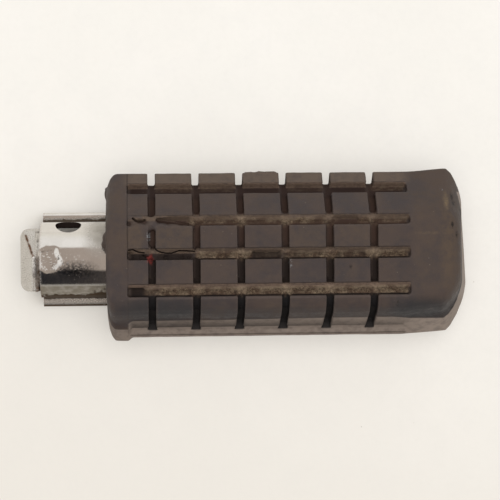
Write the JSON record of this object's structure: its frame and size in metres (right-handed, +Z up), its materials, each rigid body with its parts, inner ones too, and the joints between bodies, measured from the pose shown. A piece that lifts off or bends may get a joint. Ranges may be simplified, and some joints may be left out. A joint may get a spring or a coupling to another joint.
{
  "type": "motorcycle footpeg",
  "caption": "Footpeg with a block-tread rubber sleeve on a chromed pressed channel that has a tilted hinge pin hole and a welded stop nose.",
  "frame": {"origin": "on the plane of the rubber's flat underside, below the middle of the object's box", "axes": "+X along the peg towards its closed outer end, +Y towards the overhanging front of the tread, +Z up out of the tread"},
  "size_m": [0.144, 0.0534, 0.0368],
  "materials": {
    "chrome": "polished plate, pitted and rusted along its creases",
    "weld": "rough plated weld bead with brown rust",
    "rubber": "worn brown-black rubber with dirt in its grooves"
  },
  "bodies": {
    "root": {"footrest_channel": "chrome", "stop_nose": "chrome", "nose_weld": "weld", "foot_rubber": "rubber"}
  },
  "joints": []
}
